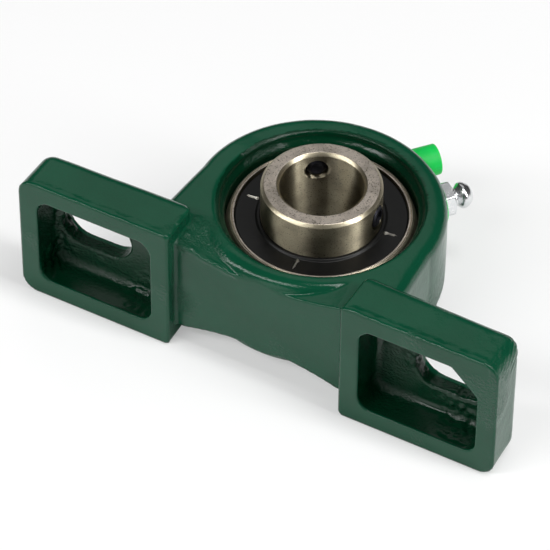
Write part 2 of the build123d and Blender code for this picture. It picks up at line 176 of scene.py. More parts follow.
def soft_box(name, turn, rise, distance, size, radiance):
    """Area lamp turned from the camera's side and raised from the floor that the part lies on."""
    turn, rise = math.radians(turn), math.radians(rise)
    level = to_camera * math.cos(turn) + lying_up.cross(to_camera) * math.sin(turn)
    away = level * math.cos(rise) + lying_up * math.sin(rise)
    data = bpy.data.lights.new(name, "AREA")
    data.shape = "RECTANGLE"
    data.size, data.size_y = size
    data.energy = radiance * math.pi * size[0] * size[1]
    lamp = bpy.data.objects.new(name, data)
    bpy.context.scene.collection.objects.link(lamp)
    lamp.rotation_mode = "QUATERNION"
    lamp.rotation_quaternion = away.to_track_quat("Z", "Y")
    lamp.location = middle + away * distance
    lamp.visible_camera = False


# Turn and rise in degrees, distance and size in metres, and how bright the box is
soft_box("left_box", -64, 38, 0.85, (1.05, 0.14), 9.0)
soft_box("right_box", 64, 50, 0.85, (1.3, 0.17), 11.5)
soft_box("front_box", -40, 12, 0.9, (0.5, 0.4), 1.4)
soft_box("back_box", 180, 50, 0.9, (0.9, 0.4), 0.55)
soft_box("under_left", -150, -45, 0.9, (0.8, 0.8), 0.9)
soft_box("under_right", 120, -50, 0.9, (0.8, 0.8), 0.9)

# Housing: one piece of grey iron, cast in sand, with the feet's undersides and the ball seat machined.
# Lumps of slag in the pockets and beads along the mould's seam are left on, and the fettling chatters
# at one corner. Dark green enamel is sprayed over it, flows over the grain and softens the edges.
shaft_height = 33.3 * MM
hub_half = 12.7 * MM
lip_radius = 25.3 * MM
seat_radius = 23.53 * MM
pocket_x = (27.4 * MM, 58.9 * MM)
pocket_y = 13.1 * MM
rough_end = 61.0 * MM
foot_inside = 12.2 * MM
pocket_rim = 0.4 * MM
mouth_rim = 0.2 * MM
casting_voxel = 0.5 * MM
casting_wave = 0.09 * MM
casting_grain = 0.16 * MM
machined_base = 0.5 * MM
seat_kept_smooth = (0.2 * MM, 6.0 * MM)
seat_left_bare = (0.3 * MM, 5.2 * MM)
grain_least = 0.12
grain_range = 0.7
grain_sinks_from = 0.3
patch_contrast = 2.2
patch_on_faces = -0.45
patch_in_mouth = 0.35
patch_in_pockets = 0.0
patch_on_end = 0.1
slag_spots = [(Vector(place) * MM, radius * MM, height * MM) for place, radius, height in (
    ((-54.5, 0.0, 10.5), 6.0, 0.8), ((-57.0, 8.0, 4.5), 6.0, 0.6), ((-33.0, 11.5, 7.0), 6.0, 0.5),
    ((40.5, -1.0, 10.5), 6.0, 0.8), ((52.0, 10.0, 7.0), 7.0, 0.6), ((47.0, 5.8, 9.0), 5.0, 0.4),
    ((-25.5, -12.5, 6.0), 5.0, 0.2), ((-47.0, 5.8, 9.0), 4.0, 0.3))]
seam_beads = [(Vector(start) * MM, Vector(end) * MM, height * MM) for start, end, height in (
    ((-23.2, -17.6, 11.0), (-22.9, -17.5, 1.2), 0.45), ((-22.3, -13.4, 13.0), (-21.8, -13.4, 4.2), 0.55),
    ((-21.6, -13.4, 4.0), (-14.2, -11.9, 3.7), 0.4), ((-14.2, -11.9, 3.7), (-6.3, -10.7, 3.5), 0.4),
    ((-59.5, -17.7, 0.9), (-23.4, -17.8, 0.9), 0.22), ((25.6, -17.8, 0.9), (59.0, -17.7, 0.9), 0.32))]
bead_radius = 1.1 * MM
slag_grain = 0.3
# Noise scales are counts per metre: 60 makes patches of about 17 mm, and 900 makes lumps of about 1 mm
patch_noise = (60, 140)
wave_noise = (130, 300)
lump_noise = 900
slag_noise = 850
bead_noise = 600
stroke_noise = 500
chatter_spot = Vector((61.5, -17.0, 9.0)) * MM
chatter_radius = 8.5 * MM
chatter_depth = 0.2 * MM
chatter_step = 1.2 * MM
paint_dark = "063A26"
paint_light = "0D4B34"
# Painted shade: the darker green that the pockets, slots and mouth get
painted_shade_green = "022D1A"
iron_dark = "4A4744"
iron_bare = "6E6B66"


def plain_mesh(name, shape):
    """Mesh of a bmesh, which it frees."""
    mesh = bpy.data.meshes.new(name)
    shape.to_mesh(mesh)
    shape.free()
    return mesh


def add_modifier(piece, kind, **settings):
    """Adds a modifier with its settings to a piece."""
    modifier = piece.modifiers.new(kind.lower(), kind)
    for name, value in settings.items():
        setattr(modifier, name, value)
    return modifier


def settle(piece):
    """Turns what a piece's modifiers give into its plain mesh."""
    depsgraph = bpy.context.evaluated_depsgraph_get()
    mesh = bpy.data.meshes.new_from_object(piece.evaluated_get(depsgraph))
    piece.modifiers.clear()
    piece.data = mesh
    mesh.name = piece.name
    return piece


def new_piece(name, mesh):
    """Object at the origin that holds a mesh."""
    piece = bpy.data.objects.new(name, mesh)
    bpy.context.scene.collection.objects.link(piece)
    return piece


def from_axis(point):
    """Distance of a point from the shaft axis."""
    return math.hypot(point.x, point.z - shaft_height)


def on_seat(point, margin, half):
    """Whether a point is on the ball seat: within a margin of its radius, and half as wide as given."""
    return from_axis(point) < seat_radius + margin and abs(point.y) < half


def is_recessed(point):
    """Whether a point is in a pocket, a slot or the mouth, whose enamel gets a painted shade."""
    x, y, z = abs(point.x), abs(point.y), point.z
    in_pocket = pocket_x[0] < x < pocket_x[1] and y < pocket_y and pocket_rim < z < foot_inside
    return in_pocket or from_axis(point) < lip_radius and y < hub_half - mouth_rim


def layered_noise(point, coarse, fine):
    """Noise of two scales, the fine one half as strong."""
    return noise.noise(point * coarse) + 0.5 * noise.noise(point * fine)


def nearness(distance, radius):
    """1 at no distance, and 0 from the radius on."""
    return max(0.0, 1.0 - distance / radius)


def roughness_of_casting(point):
    """How coarse the sand grain is at a point: it comes in patches, more of them in the recesses."""
    start = patch_on_faces
    if is_recessed(point):
        start = patch_in_mouth if from_axis(point) < lip_radius else patch_in_pockets
    elif point.x > rough_end:
        start = patch_on_end
    patch = patch_contrast * layered_noise(point, *patch_noise) + start
    return grain_least + grain_range * max(0.0, min(1.0, patch))


def depth_of_grain(point, coarse):
    """How far the surface lies below the drawn one, from its waves and from the sand's grain."""
    wave = casting_wave * (0.75 + 0.5 * layered_noise(point, *wave_noise))
    lumps = 0.5 + noise.noise(point * lump_noise) * coarse
    return wave + casting_grain * max(0.0, coarse - grain_sinks_from) * lumps


def depth_of_chatter(point, near):
    """How deep the fettling tool's slanting strokes are at a point near the corner that it chattered on."""
    stroke = math.cos(math.tau * (point.x + 0.5 * point.z + 0.4 * point.y) / chatter_step)
    return chatter_depth * min(1.0, 2 * near) * max(0.0, stroke + noise.noise(point * stroke_noise))


def slag_at(point):
    """Height of the lumps of slag at a point in the feet, and how near it is to one, from 0 to 1."""
    if point.z >= foot_inside:
        return 0.0, 0.0
    swell, nearest = 0.0, 0.0
    uneven = max(0.0, 0.5 + 1.5 * noise.noise(point * slag_noise))
    for centre, radius, height in slag_spots:
        near = nearness((point - centre).length, radius)
        nearest = max(nearest, near)
        swell = max(swell, height * math.sqrt(near) * uneven)
    return swell, nearest


def bead_at(point):
    """Height of the seam's beads at a point."""
    swell = 0.0
    uneven = max(0.0, 0.6 + 0.9 * noise.noise(point * bead_noise))
    for start, end, height in seam_beads:
        line = end - start
        along = max(0.0, min(1.0, (point - start).dot(line) / line.length_squared))
        near = nearness((point - start - line * along).length, bead_radius)
        swell = max(swell, height * math.sqrt(near) * uneven)
    return swell


cast = bmesh.new()
cast.from_mesh(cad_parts["housing"].data)
bmesh.ops.remove_doubles(cast, verts=cast.verts, dist=0.0005 * MM)
housing = new_piece("housing_casting", plain_mesh("housing_casting", cast))
add_modifier(housing, "REMESH", mode="VOXEL", voxel_size=casting_voxel)
add_modifier(housing, "SMOOTH", factor=0.5, iterations=3)
add_modifier(housing, "SHRINKWRAP", target=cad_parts["housing"])
add_modifier(housing, "SMOOTH", factor=0.3, iterations=1)
settle(housing)

mesh = housing.data
mesh.materials.clear()
normals = [v.normal.copy() for v in mesh.vertices]
grain = mesh.attributes.new("cast_grain", "FLOAT", "POINT")
# Marks the pockets, slots and mouth, where the enamel gets a painted shade
recess = mesh.attributes.new("recess", "FLOAT", "POINT")
for vertex, normal in zip(mesh.vertices, normals):
    point = vertex.co.copy()
    coarse = roughness_of_casting(point)
    grain.data[vertex.index].value = coarse
    recess.data[vertex.index].value = float(is_recessed(point))
    if point.z < machined_base or on_seat(point, *seat_kept_smooth):
        continue
    near_chatter = nearness((point - chatter_spot).length, chatter_radius)
    sink = depth_of_grain(point, coarse) + depth_of_chatter(point, near_chatter)
    slag, near_slag = slag_at(point)
    grain.data[vertex.index].value = coarse + slag_grain * max(near_slag, 0.5 * near_chatter)
    vertex.co = point - normal * (max(0.0, sink) - max(slag, bead_at(point)))
mesh.shade_smooth()

paint, tree = new_material("green_enamel_on_sand_cast_iron")
# Enamel over cast iron: a deep green with a thin glossy skin, whose reflections break up on the grain.
# Its orange peel is 1.5 mm wide. The sand's grain is drawn 0.7 mm wide, coarser than real, to show.
place = add_node(tree, "ShaderNodeTexCoord").outputs["Object"]
grain_share = add_node(tree, "ShaderNodeAttribute", attribute_name="cast_grain").outputs["Fac"]
cloud = add_node(tree, "ShaderNodeTexNoise", {"Vector": place, "Scale": 70.0, "Detail": 3.0})
tone = add_node(tree, "ShaderNodeMix", data_type="RGBA", inputs={
    0: cloud.outputs[0], 6: colour(paint_dark), 7: colour(paint_light)})
# Painted shade: the enamel is darkened in the pockets, slots and mouth, where shade falls
recess_shade_mask = add_node(tree, "ShaderNodeAttribute", attribute_name="recess").outputs["Fac"]
shade = add_node(tree, "ShaderNodeMix", data_type="RGBA", inputs={
    0: recess_shade_mask, 6: tone.outputs[2], 7: colour(painted_shade_green)})
peel = add_node(tree, "ShaderNodeTexNoise", {"Vector": place, "Scale": 650.0, "Detail": 2.0})
sand = add_node(tree, "ShaderNodeTexNoise", {
    "Vector": place, "Scale": 1500.0, "Detail": 3.0, "Roughness": 0.6})
sand_height = add_node(tree, "ShaderNodeMath", operation="MULTIPLY", inputs={
    0: sand.outputs[0], 1: grain_share})
peel_bump = add_node(tree, "ShaderNodeBump", {
    "Height": peel.outputs[0], "Strength": 0.22, "Distance": 0.1 * MM})
sand_bump = add_node(tree, "ShaderNodeBump", {
    "Height": sand_height.outputs[0], "Strength": 0.9, "Distance": 0.45 * MM, "Normal": peel_bump.outputs[0]})
gloss = add_node(tree, "ShaderNodeMapRange", {
    "Value": grain_share, "From Min": 0.0, "From Max": 1.0, "To Min": 0.13, "To Max": 0.2})
skin = add_node(tree, "ShaderNodeBsdfPrincipled", {
    "Base Color": shade.outputs[2], "Roughness": gloss.outputs[0], "IOR": 1.38,
    "Normal": sand_bump.outputs[0]})
add_node(tree, "ShaderNodeOutputMaterial", {"Surface": skin.outputs[0]})
mesh.materials.append(paint)


def mottled(name, tones, scale, detail, roughness, surface=()):
    """Material whose tone drifts in patches, scale of them per metre; so does a pair of roughnesses."""
    material, tree = new_material(name)
    place = add_node(tree, "ShaderNodeTexCoord").outputs["Object"]
    patches = add_node(tree, "ShaderNodeTexNoise", {"Vector": place, "Scale": scale, "Detail": detail})
    tone = add_node(tree, "ShaderNodeMix", data_type="RGBA", inputs={
        0: patches.outputs[0], 6: colour(tones[0]), 7: colour(tones[1])})
    if isinstance(roughness, tuple):
        drift = add_node(tree, "ShaderNodeMapRange", {
            "Value": patches.outputs[0], "To Min": roughness[0], "To Max": roughness[1]})
        roughness = drift.outputs[0]
    shader = add_node(tree, "ShaderNodeBsdfPrincipled", {
        "Base Color": tone.outputs[2], "Roughness": roughness, **dict(surface)})
    add_node(tree, "ShaderNodeOutputMaterial", {"Surface": shader.outputs[0]})
    return material


# Turned cast iron: dull dark grey metal, with its graphite drawn as specks of half a millimetre to show
bare_iron = mottled("turned_grey_iron", (iron_dark, iron_bare), 2200.0, 2.0, 0.42, {"Metallic": 1.0})
mesh.materials.append(bare_iron)
for face in mesh.polygons:
    if on_seat(face.center, *seat_left_bare):
        face.material_index = 1
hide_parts("housing")
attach(housing, "housing")

# Outer ring: bearing steel, hardened and ground. Its outside is part of a sphere that turns in the
# housing's seat, with a groove that lets the grease in. Its face shows as a bright narrow rim round the
# black slinger, with a fine turned line in it.
ring_sphere = 23.5 * MM
ring_half = 8.5 * MM
ring_seal = 20.75 * MM
ring_seal_step = 6.0 * MM
ring_land = 18.949 * MM
ring_race = 20.749 * MM
race_curve = 4.128 * MM
grease_groove = (-4.4 * MM, 1.1 * MM, 0.5 * MM)
ring_edge = 0.3 * MM
face_line = (0.42 * MM, 0.58 * MM, 0.74 * MM)
face_line_depth = 0.2 * MM
steel_face = "A09882"
steel_end = "D6CCC0"
steel_edge = "C8BEA5"
steel_dark = "665F53"
end_lean = 0.9
chamfer_lean = 0.35
on_axis = 0.001 * MM
shaft_line = Vector((0, 0, shaft_height))
along_shaft = Vector((0, 1, 0))


def arc(centre, radius, start, end, count):
    """Points of an arc in an outline; angles in degrees from the outward direction."""
    turns = [math.radians(start + (end - start) * k / (count - 1)) for k in range(count)]
    return [(centre[0] + radius * math.cos(t), centre[1] + radius * math.sin(t)) for t in turns]


def softened(outline, radius, steps=3):
    """The outline with its sharp corners rounded, but for those on the axis."""
    points = [Vector(p) for p in outline]
    rounded = []
    for k, corner in enumerate(points):
        back, onward = points[k - 1] - corner, points[(k + 1) % len(points)] - corner
        if corner.x < on_axis or back.angle(onward) > math.radians(160):
            rounded.append(corner)
            continue
        reach = min(radius, 0.45 * back.length, 0.45 * onward.length)
        start, end = corner + back.normalized() * reach, corner + onward.normalized() * reach
        for t in (step / steps for step in range(steps + 1)):
            rounded.append(start * (1 - t) ** 2 + corner * 2 * t * (1 - t) + end * t ** 2)
    return [(p.x, p.y) for p in rounded]


def turned(name, outline, start=shaft_line, axis=along_shaft, segments=160):
    """Piece turned on a lathe: (radius, distance along the axis) points swept round the axis."""
    side = axis.orthogonal().normalized()
    across = axis.cross(side)
    lathe = bmesh.new()
    rings = []
    for radius, along in outline:
        centre = start + axis * along
        turns = [2 * math.pi * k / segments for k in range(segments if radius > on_axis else 1)]
        rings.append([
            lathe.verts.new(centre + (side * math.cos(t) + across * math.sin(t)) * radius) for t in turns])
    pairs = list(zip(rings, rings[1:]))
    if len(rings[0]) > 1:
        pairs.append((rings[-1], rings[0]))
    for first, second in pairs:
        for k in range(segments):
            corners = [first[k % len(first)], first[(k + 1) % len(first)],
                       second[(k + 1) % len(second)], second[k % len(second)]]
            lathe.faces.new(list(dict.fromkeys(corners)))
    bmesh.ops.recalc_face_normals(lathe, faces=lathe.faces)
    return new_piece(name, plain_mesh(name, lathe))


def finished(piece, *materials, sharp=38):
    """Shades a machined piece: smooth where it curves, crisp at its edges, flat on its flats."""
    piece.data.materials.clear()
    for material in materials:
        piece.data.materials.append(material)
    piece.data.shade_smooth()
    piece.data.set_sharp_from_angle(angle=math.radians(sharp))
    add_modifier(piece, "WEIGHTED_NORMAL", keep_sharp=True)
    return settle(piece)


def dress_ends(piece, front, rear, depth):
    """Gives the ends square to the shaft the second material, and their chamfers the third."""
    for face in piece.data.polygons:
        lean = abs(face.normal.y)
        near_end = not front + depth < face.center.y < rear - depth
        face.material_index = 1 if lean > end_lean else 2 if lean > chamfer_lean and near_end else 0


def lathe_marks(tree, centre):
    """Vector that changes across the tool's rings on a turned piece, and hardly along them."""
    place = add_node(tree, "ShaderNodeTexCoord").outputs["Object"]
    local = add_node(tree, "ShaderNodeMapping", {"Vector": place, "Location": -centre})
    parts = add_node(tree, "ShaderNodeSeparateXYZ", {0: local.outputs[0]})
    flat = add_node(tree, "ShaderNodeCombineXYZ", {"X": parts.outputs["X"], "Y": parts.outputs["Z"]})
    reach = add_node(tree, "ShaderNodeVectorMath", operation="LENGTH", inputs={0: flat.outputs[0]})
    turn = add_node(tree, "ShaderNodeMath", operation="ARCTAN2", inputs={
        0: parts.outputs["Z"], 1: parts.outputs["X"]})
    slow = add_node(tree, "ShaderNodeMath", operation="MULTIPLY", inputs={0: turn.outputs[0], 1: 0.5 * MM})
    rings = add_node(tree, "ShaderNodeCombineXYZ", {
        "X": reach.outputs["Value"], "Y": parts.outputs["Y"], "Z": slow.outputs[0]})
    return rings.outputs[0], place


def ground_steel(name, face, dark, roughness, stretch):
    """Ground bearing steel: warm grey, streaked round the shaft, with fine dark specks of handling rust."""
    # The streaks are about 0.3 mm apart, and the specks 0.4 mm wide, in clouds of 4 mm
    material, tree = new_material(name)
    rings, place = lathe_marks(tree, shaft_line)
    streaks = add_node(tree, "ShaderNodeTexNoise", {"Vector": rings, "Scale": 3500.0, "Detail": 2.0})
    specks = add_node(tree, "ShaderNodeTexNoise", {
        "Vector": place, "Scale": 2600.0, "Detail": 2.0, "Roughness": 0.7})
    spotted = add_node(tree, "ShaderNodeMapRange", {
        "Value": specks.outputs[0], "From Min": 0.32, "From Max": 0.44, "To Min": 0.0, "To Max": 1.0})
    cloud = add_node(tree, "ShaderNodeTexNoise", {"Vector": place, "Scale": 240.0, "Detail": 3.0})
    clouded = add_node(tree, "ShaderNodeMath", operation="MULTIPLY", inputs={
        0: spotted.outputs[0], 1: cloud.outputs[0]})
    clean = add_node(tree, "ShaderNodeMapRange", {
        "Value": clouded.outputs[0], "From Min": 0.0, "From Max": 0.55, "To Min": 0.0, "To Max": 1.0})
    tone = add_node(tree, "ShaderNodeMix", data_type="RGBA", inputs={
        0: clean.outputs[0], 6: colour(dark), 7: colour(face)})
    rough = add_node(tree, "ShaderNodeMapRange", {
        "Value": streaks.outputs[0], "To Min": roughness - 0.06, "To Max": roughness + 0.08})
    bump = add_node(tree, "ShaderNodeBump", {
        "Height": streaks.outputs[0], "Strength": 0.25, "Distance": 0.02 * MM})
    grain = add_node(tree, "ShaderNodeTangent", direction_type="RADIAL", axis="Y")
    metal = add_node(tree, "ShaderNodeBsdfPrincipled", {
        "Base Color": tone.outputs[2], "Metallic": 1.0, "Roughness": rough.outputs[0],
        "Anisotropic": stretch, "Anisotropic Rotation": 0.25, "Tangent": grain.outputs[0],
        "Normal": bump.outputs[0]})
    add_node(tree, "ShaderNodeOutputMaterial", {"Surface": metal.outputs[0]})
    return material


ring_steel = ground_steel("ground_bearing_steel", steel_face, steel_dark, 0.43, 1.0)
face_steel = ground_steel("faced_bearing_steel", steel_end, steel_dark, 0.55, 0.0)
edge_steel = ground_steel("chamfered_bearing_steel", steel_edge, steel_face, 0.34, 0.5)
face_radius = math.sqrt(ring_sphere**2 - ring_half**2)
slope = math.degrees(math.asin((ring_half - ring_edge) / ring_sphere))
race_slope = math.degrees(math.acos((race_curve - (ring_race - ring_land)) / race_curve))
groove_y, groove_half_width, groove_depth = grease_groove
groove_angles = [
    math.degrees(math.asin((groove_y + side * groove_half_width) / ring_sphere)) for side in (1, -1)]
outline = arc((0, 0), ring_sphere, slope, groove_angles[0], 16)
groove_floor = math.sqrt(ring_sphere**2 - groove_y**2) - groove_depth
outline += [(groove_floor, groove_y + groove_half_width), (groove_floor, groove_y - groove_half_width)]
outline += arc((0, 0), ring_sphere, groove_angles[1], -slope, 8)
outline += softened([
    (face_radius - ring_edge, -ring_half), (face_radius - face_line[0], -ring_half),
    (face_radius - face_line[1], -ring_half + face_line_depth), (face_radius - face_line[2], -ring_half),
    (ring_seal, -ring_half), (ring_seal, -ring_seal_step), (ring_land, -ring_seal_step)], 0.1 * MM)[:-4]
outline += [(ring_land, -ring_seal_step)]
outline += arc((ring_race - race_curve, 0), race_curve, -race_slope, race_slope, 15)
outline += [
    (ring_land, ring_seal_step), (ring_seal, ring_seal_step), (ring_seal, ring_half - 0.1 * MM),
    (ring_seal + 0.1 * MM, ring_half), (face_radius - ring_edge, ring_half)]
outer_ring = finished(turned("outer_ring_ground", outline, segments=224), ring_steel, face_steel, edge_steel)
dress_ends(outer_ring, -ring_half, ring_half, 0.5 * MM)
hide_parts("outer_ring")
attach(outer_ring, "insert")

# Inner ring: bearing steel, ground all over, with a long collar at the viewer's side.
# Two tapped holes in the collar take the set screws that grip the shaft.
bore = 10.0 * MM
collar = 14.5 * MM
front_end = -18.3 * MM
rear_end = 12.7 * MM
bore_chamfer = 0.8 * MM
collar_chamfer = 0.8 * MM
inner_race = 12.751 * MM
screw_place = -13.3 * MM
screw_turns = (5.0, 125.0)
screw_pitch = 1.0 * MM
race_edge = 4.6 * MM
tap_turns = 7
tap_minor = 2.62 * MM
tap_major = 3.04 * MM


def outward_at(degrees):
    """Direction away from the shaft at an angle from +X towards +Z."""
    turn = math.radians(degrees)
    return Vector((math.cos(turn), 0, math.sin(turn)))


def combine(piece, *tools, way="DIFFERENCE"):
    """Cuts the tools out of the piece, or joins or intersects them with it, and deletes them."""
    for tool in tools:
        add_modifier(piece, "BOOLEAN", operation=way, solver="EXACT", object=tool)
    settle(piece)
    for tool in tools:
        bpy.data.objects.remove(tool)
    return piece


def tap_shapes(degrees):
    """What is cut out of the collar for a set screw: the threaded hole, and its countersinks."""
    place, axis = shaft_line + along_shaft * screw_place, outward_at(degrees)
    thread = [(0, bore - 1 * MM)]
    for k in range(tap_turns):
        reach = bore - 0.9 * MM + k * screw_pitch
        thread += [(tap_minor, reach), (tap_major, reach + screw_pitch / 2)]
    thread.append((0, collar + 2 * MM))
    mouth_in, mouth_out = bore - 0.15 * MM, collar - 0.35 * MM
    sink_out = [(0, mouth_out - 0.4 * MM), (tap_minor, mouth_out - 0.4 * MM),
                (tap_major + 0.9 * MM, collar + 0.5 * MM), (0, collar + 0.5 * MM)]
    sink_in = [(0, mouth_in - 0.6 * MM), (tap_major + 0.5 * MM, mouth_in - 0.6 * MM),
               (tap_minor, mouth_in + 0.45 * MM), (0, mouth_in + 0.45 * MM)]
    return [turned(f"tap_{degrees:.0f}_{k}", shape, place, axis, 48)
            for k, shape in enumerate((thread, sink_out, sink_in))]


inner_slope = math.degrees(math.acos((race_curve - (collar - inner_race)) / race_curve))
outline = [(collar, -race_edge), (collar, front_end + collar_chamfer), (collar - collar_chamfer, front_end),
           (bore + bore_chamfer, front_end), (bore, front_end + bore_chamfer),
           (bore, rear_end - bore_chamfer), (bore + bore_chamfer, rear_end),
           (collar - collar_chamfer, rear_end), (collar, rear_end - collar_chamfer), (collar, race_edge)]
outline = softened(outline, 0.16 * MM)
outline += arc((inner_race + race_curve, 0), race_curve, 180 - inner_slope, 180 + inner_slope, 15)
inner_ring = turned("inner_ring_ground", outline, segments=224)
combine(inner_ring, *(shape for degrees in screw_turns for shape in tap_shapes(degrees)))
finished(inner_ring, ring_steel, face_steel, edge_steel)
dress_ends(inner_ring, front_end, rear_end, collar_chamfer)
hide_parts("inner_ring")
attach(inner_ring, "inner_race")

# Set screws: alloy steel, hardened and blackened in hot oxide, with a cup point and a hexagon socket.
# They are screwed into the collar until they bite on the shaft. The thread is a ridge that a node tree
# winds round each screw's shank.
screw_radius = 3.0 * MM
screw_shank = 2.68 * MM
screw_length = 4.4 * MM
screw_tip = 10.3 * MM
cup_point = [(0, 0.75 * MM), (1.1 * MM, 0.35 * MM), (1.6 * MM, 0)]
thread_turns = 3.0
thread_length = 3.0 * MM
thread_start = 0.75 * MM
socket_width = 3.0 * MM
socket_depth = 1.8 * MM


def start_tree(name, **inputs):
    """Node tree that takes a geometry and named inputs of the given kinds, and gives a geometry."""
    group = bpy.data.node_groups.new(name, "GeometryNodeTree")
    face = group.interface
    face.new_socket("Geometry", in_out="INPUT", socket_type="NodeSocketGeometry")
    for socket, kind in inputs.items():
        face.new_socket(socket.replace("_", " "), in_out="INPUT", socket_type=f"NodeSocket{kind}")
    face.new_socket("Geometry", in_out="OUTPUT", socket_type="NodeSocketGeometry")
    return group, add_node(group, "NodeGroupInput")


def end_tree(group, given, made):
    """Joins what a tree made to its piece as plain mesh with the given material."""
    both = group.nodes.new("GeometryNodeJoinGeometry")
    group.links.new(made.outputs[0], both.inputs[0])
    group.links.new(given.outputs["Geometry"], both.inputs[0])
    real = add_node(group, "GeometryNodeRealizeInstances", {"Geometry": both.outputs[0]})
    named = add_node(group, "GeometryNodeSetMaterial", {
        "Geometry": real.outputs[0], "Material": given.outputs["Material"]})
    add_node(group, "NodeGroupOutput", {0: named.outputs[0]})


def apply_tree(piece, group, **values):
    """Runs a node tree on a piece with its named inputs set, and keeps the result as its mesh."""
    run = piece.modifiers.new(group.name, "NODES")
    run.node_group = group
    for item in group.interface.items_tree:
        key = item.name.replace(" ", "_").lower()
        if item.in_out == "INPUT" and key in values:
            run[item.identifier] = values[key]
    return settle(piece)


def to_place(piece, place, axis):
    """Moves a mesh made about the origin and +Z to its place and axis; the object stays at the origin."""
    turn = axis.to_track_quat("Z", "Y").to_matrix().to_4x4()
    piece.data.transform(Matrix.Translation(place) @ turn)
    return piece


# Black oxide: a thin blue-black skin on steel, satin, with patches of 0.8 mm where it is thinner
screw_black = mottled("black_oxide_alloy_steel", ("1D1D20", "484850"), 1300.0, 3.0, 0.38, {"Metallic": 0.85})

# Node tree that winds a round wire into a coil about +Z
winding, given = start_tree(
    "winding", Turns="Float", Radius="Float", Length="Float", Start="Float", Wire_Radius="Float",
    Wire_Sides="Int", Material="Material")
spiral = add_node(winding, "GeometryNodeCurveSpiral", {
    "Resolution": 40, "Rotations": given.outputs["Turns"], "Start Radius": given.outputs["Radius"],
    "End Radius": given.outputs["Radius"], "Height": given.outputs["Length"]})
raised = add_node(winding, "ShaderNodeCombineXYZ", {"Z": given.outputs["Start"]})
moved = add_node(winding, "GeometryNodeTransform", {
    "Geometry": spiral.outputs[0], "Translation": raised.outputs[0]})
section = add_node(winding, "GeometryNodeCurvePrimitiveCircle", {
    "Resolution": given.outputs["Wire Sides"], "Radius": given.outputs["Wire Radius"]})
wire = add_node(winding, "GeometryNodeCurveToMesh", {
    "Curve": moved.outputs[0], "Profile Curve": section.outputs[0], "Fill Caps": True})
end_tree(winding, given, wire)

origin, up = Vector((0, 0, 0)), Vector((0, 0, 1))
for number, degrees in enumerate(screw_turns, start=1):
    shank = softened([
        *cup_point, (screw_shank, 0.8 * MM), (screw_shank, screw_length - 0.4 * MM),
        (screw_shank - 0.5 * MM, screw_length), (0, screw_length)], 0.1 * MM)
    screw = turned(f"set_screw_{number}_black", shank, origin, up, 64)
    key = turned(f"key_{number}", [
        (0, screw_length - socket_depth), (socket_width / math.sqrt(3), screw_length - socket_depth),
        (socket_width / math.sqrt(3), screw_length + 1 * MM), (0, screw_length + 1 * MM)], origin, up, 6)
    combine(screw, key)
    ridge = (screw_radius - screw_shank) * 0.9
    apply_tree(screw, winding, turns=thread_turns, radius=screw_radius - ridge, length=thread_length,
               start=thread_start, wire_radius=ridge, wire_sides=6, material=screw_black)
    finished(screw, screw_black)
    outward = outward_at(degrees)
    to_place(screw, shaft_line + along_shaft * screw_place + outward * screw_tip, outward)
    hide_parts(f"set_screw_{number}")
    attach(screw, f"set_screw_{number}")

# Seals: nitrile rubber moulded round a steel disc, pressed in the outer ring's steps.
# A thin lip runs round the inner ring; only the slingers hide them.
seal_lip = 14.6 * MM
seal_thickness = 0.9 * MM
# Moulded nitrile: near black, matt, with a faint bloom
rubber = mottled("nitrile_rubber", ("121212", "242322"), 400.0, 4.0, 0.62)
for side, name in ((-1, "front_seal"), (1, "rear_seal")):
    outline = softened([
        (ring_seal, side * ring_seal_step), (ring_seal, side * (ring_seal_step + seal_thickness)),
        (seal_lip + 2.2 * MM, side * (ring_seal_step + seal_thickness)),
        (seal_lip + 1.6 * MM, side * (ring_seal_step + 0.6 * seal_thickness)),
        (seal_lip + 0.5 * MM, side * (ring_seal_step + seal_thickness)),
        (seal_lip, side * (ring_seal_step + 0.5 * seal_thickness)),
        (seal_lip + 1.2 * MM, side * ring_seal_step)], 0.12 * MM)
    seal = finished(turned(f"{name}_rubber", outline), rubber, sharp=50)
    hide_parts(name)
    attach(seal, "insert")

# Slingers: thin steel discs stamped with four creases and blackened, pressed on the inner ring.
# They turn with it just outside the seals. Where their creases stand proud, bright bare steel is put on as a
# painted highlight.
slinger_inside = 7.2 * MM
slinger_outside = 7.8 * MM
slinger_rim = 20.45 * MM
slinger_hub = 15.3 * MM
slinger_lip = 0.5 * MM
highlight_height = 0.03 * MM
highlight_from = slinger_hub + 0.45 * MM
crease_count = 4
crease_turn = 8.0
crease_start = 15.75 * MM
crease_end = 19.1 * MM
crease_half = 0.38 * MM
crease_height = 0.36 * MM
crease_spine = [(crease_start, 0.9), (crease_start + 0.5 * MM, 1.9), (crease_start + 1.1 * MM, 1.0),
                (crease_end - 0.6 * MM, 1.0), (crease_end, 0.1)]


def skinned(name, rows):
    """Piece skinned over rows of points, with a face at each end."""
    skin = bmesh.new()
    corners = [[skin.verts.new(point) for point in row] for row in rows]
    for first, second in zip(corners, corners[1:]):
        for k in range(len(first)):
            after = (k + 1) % len(first)
            skin.faces.new((first[k], first[after], second[after], second[k]))
    skin.faces.new(corners[0])
    skin.faces.new(corners[-1])
    bmesh.ops.recalc_face_normals(skin, faces=skin.faces)
    return new_piece(name, plain_mesh(name, skin))


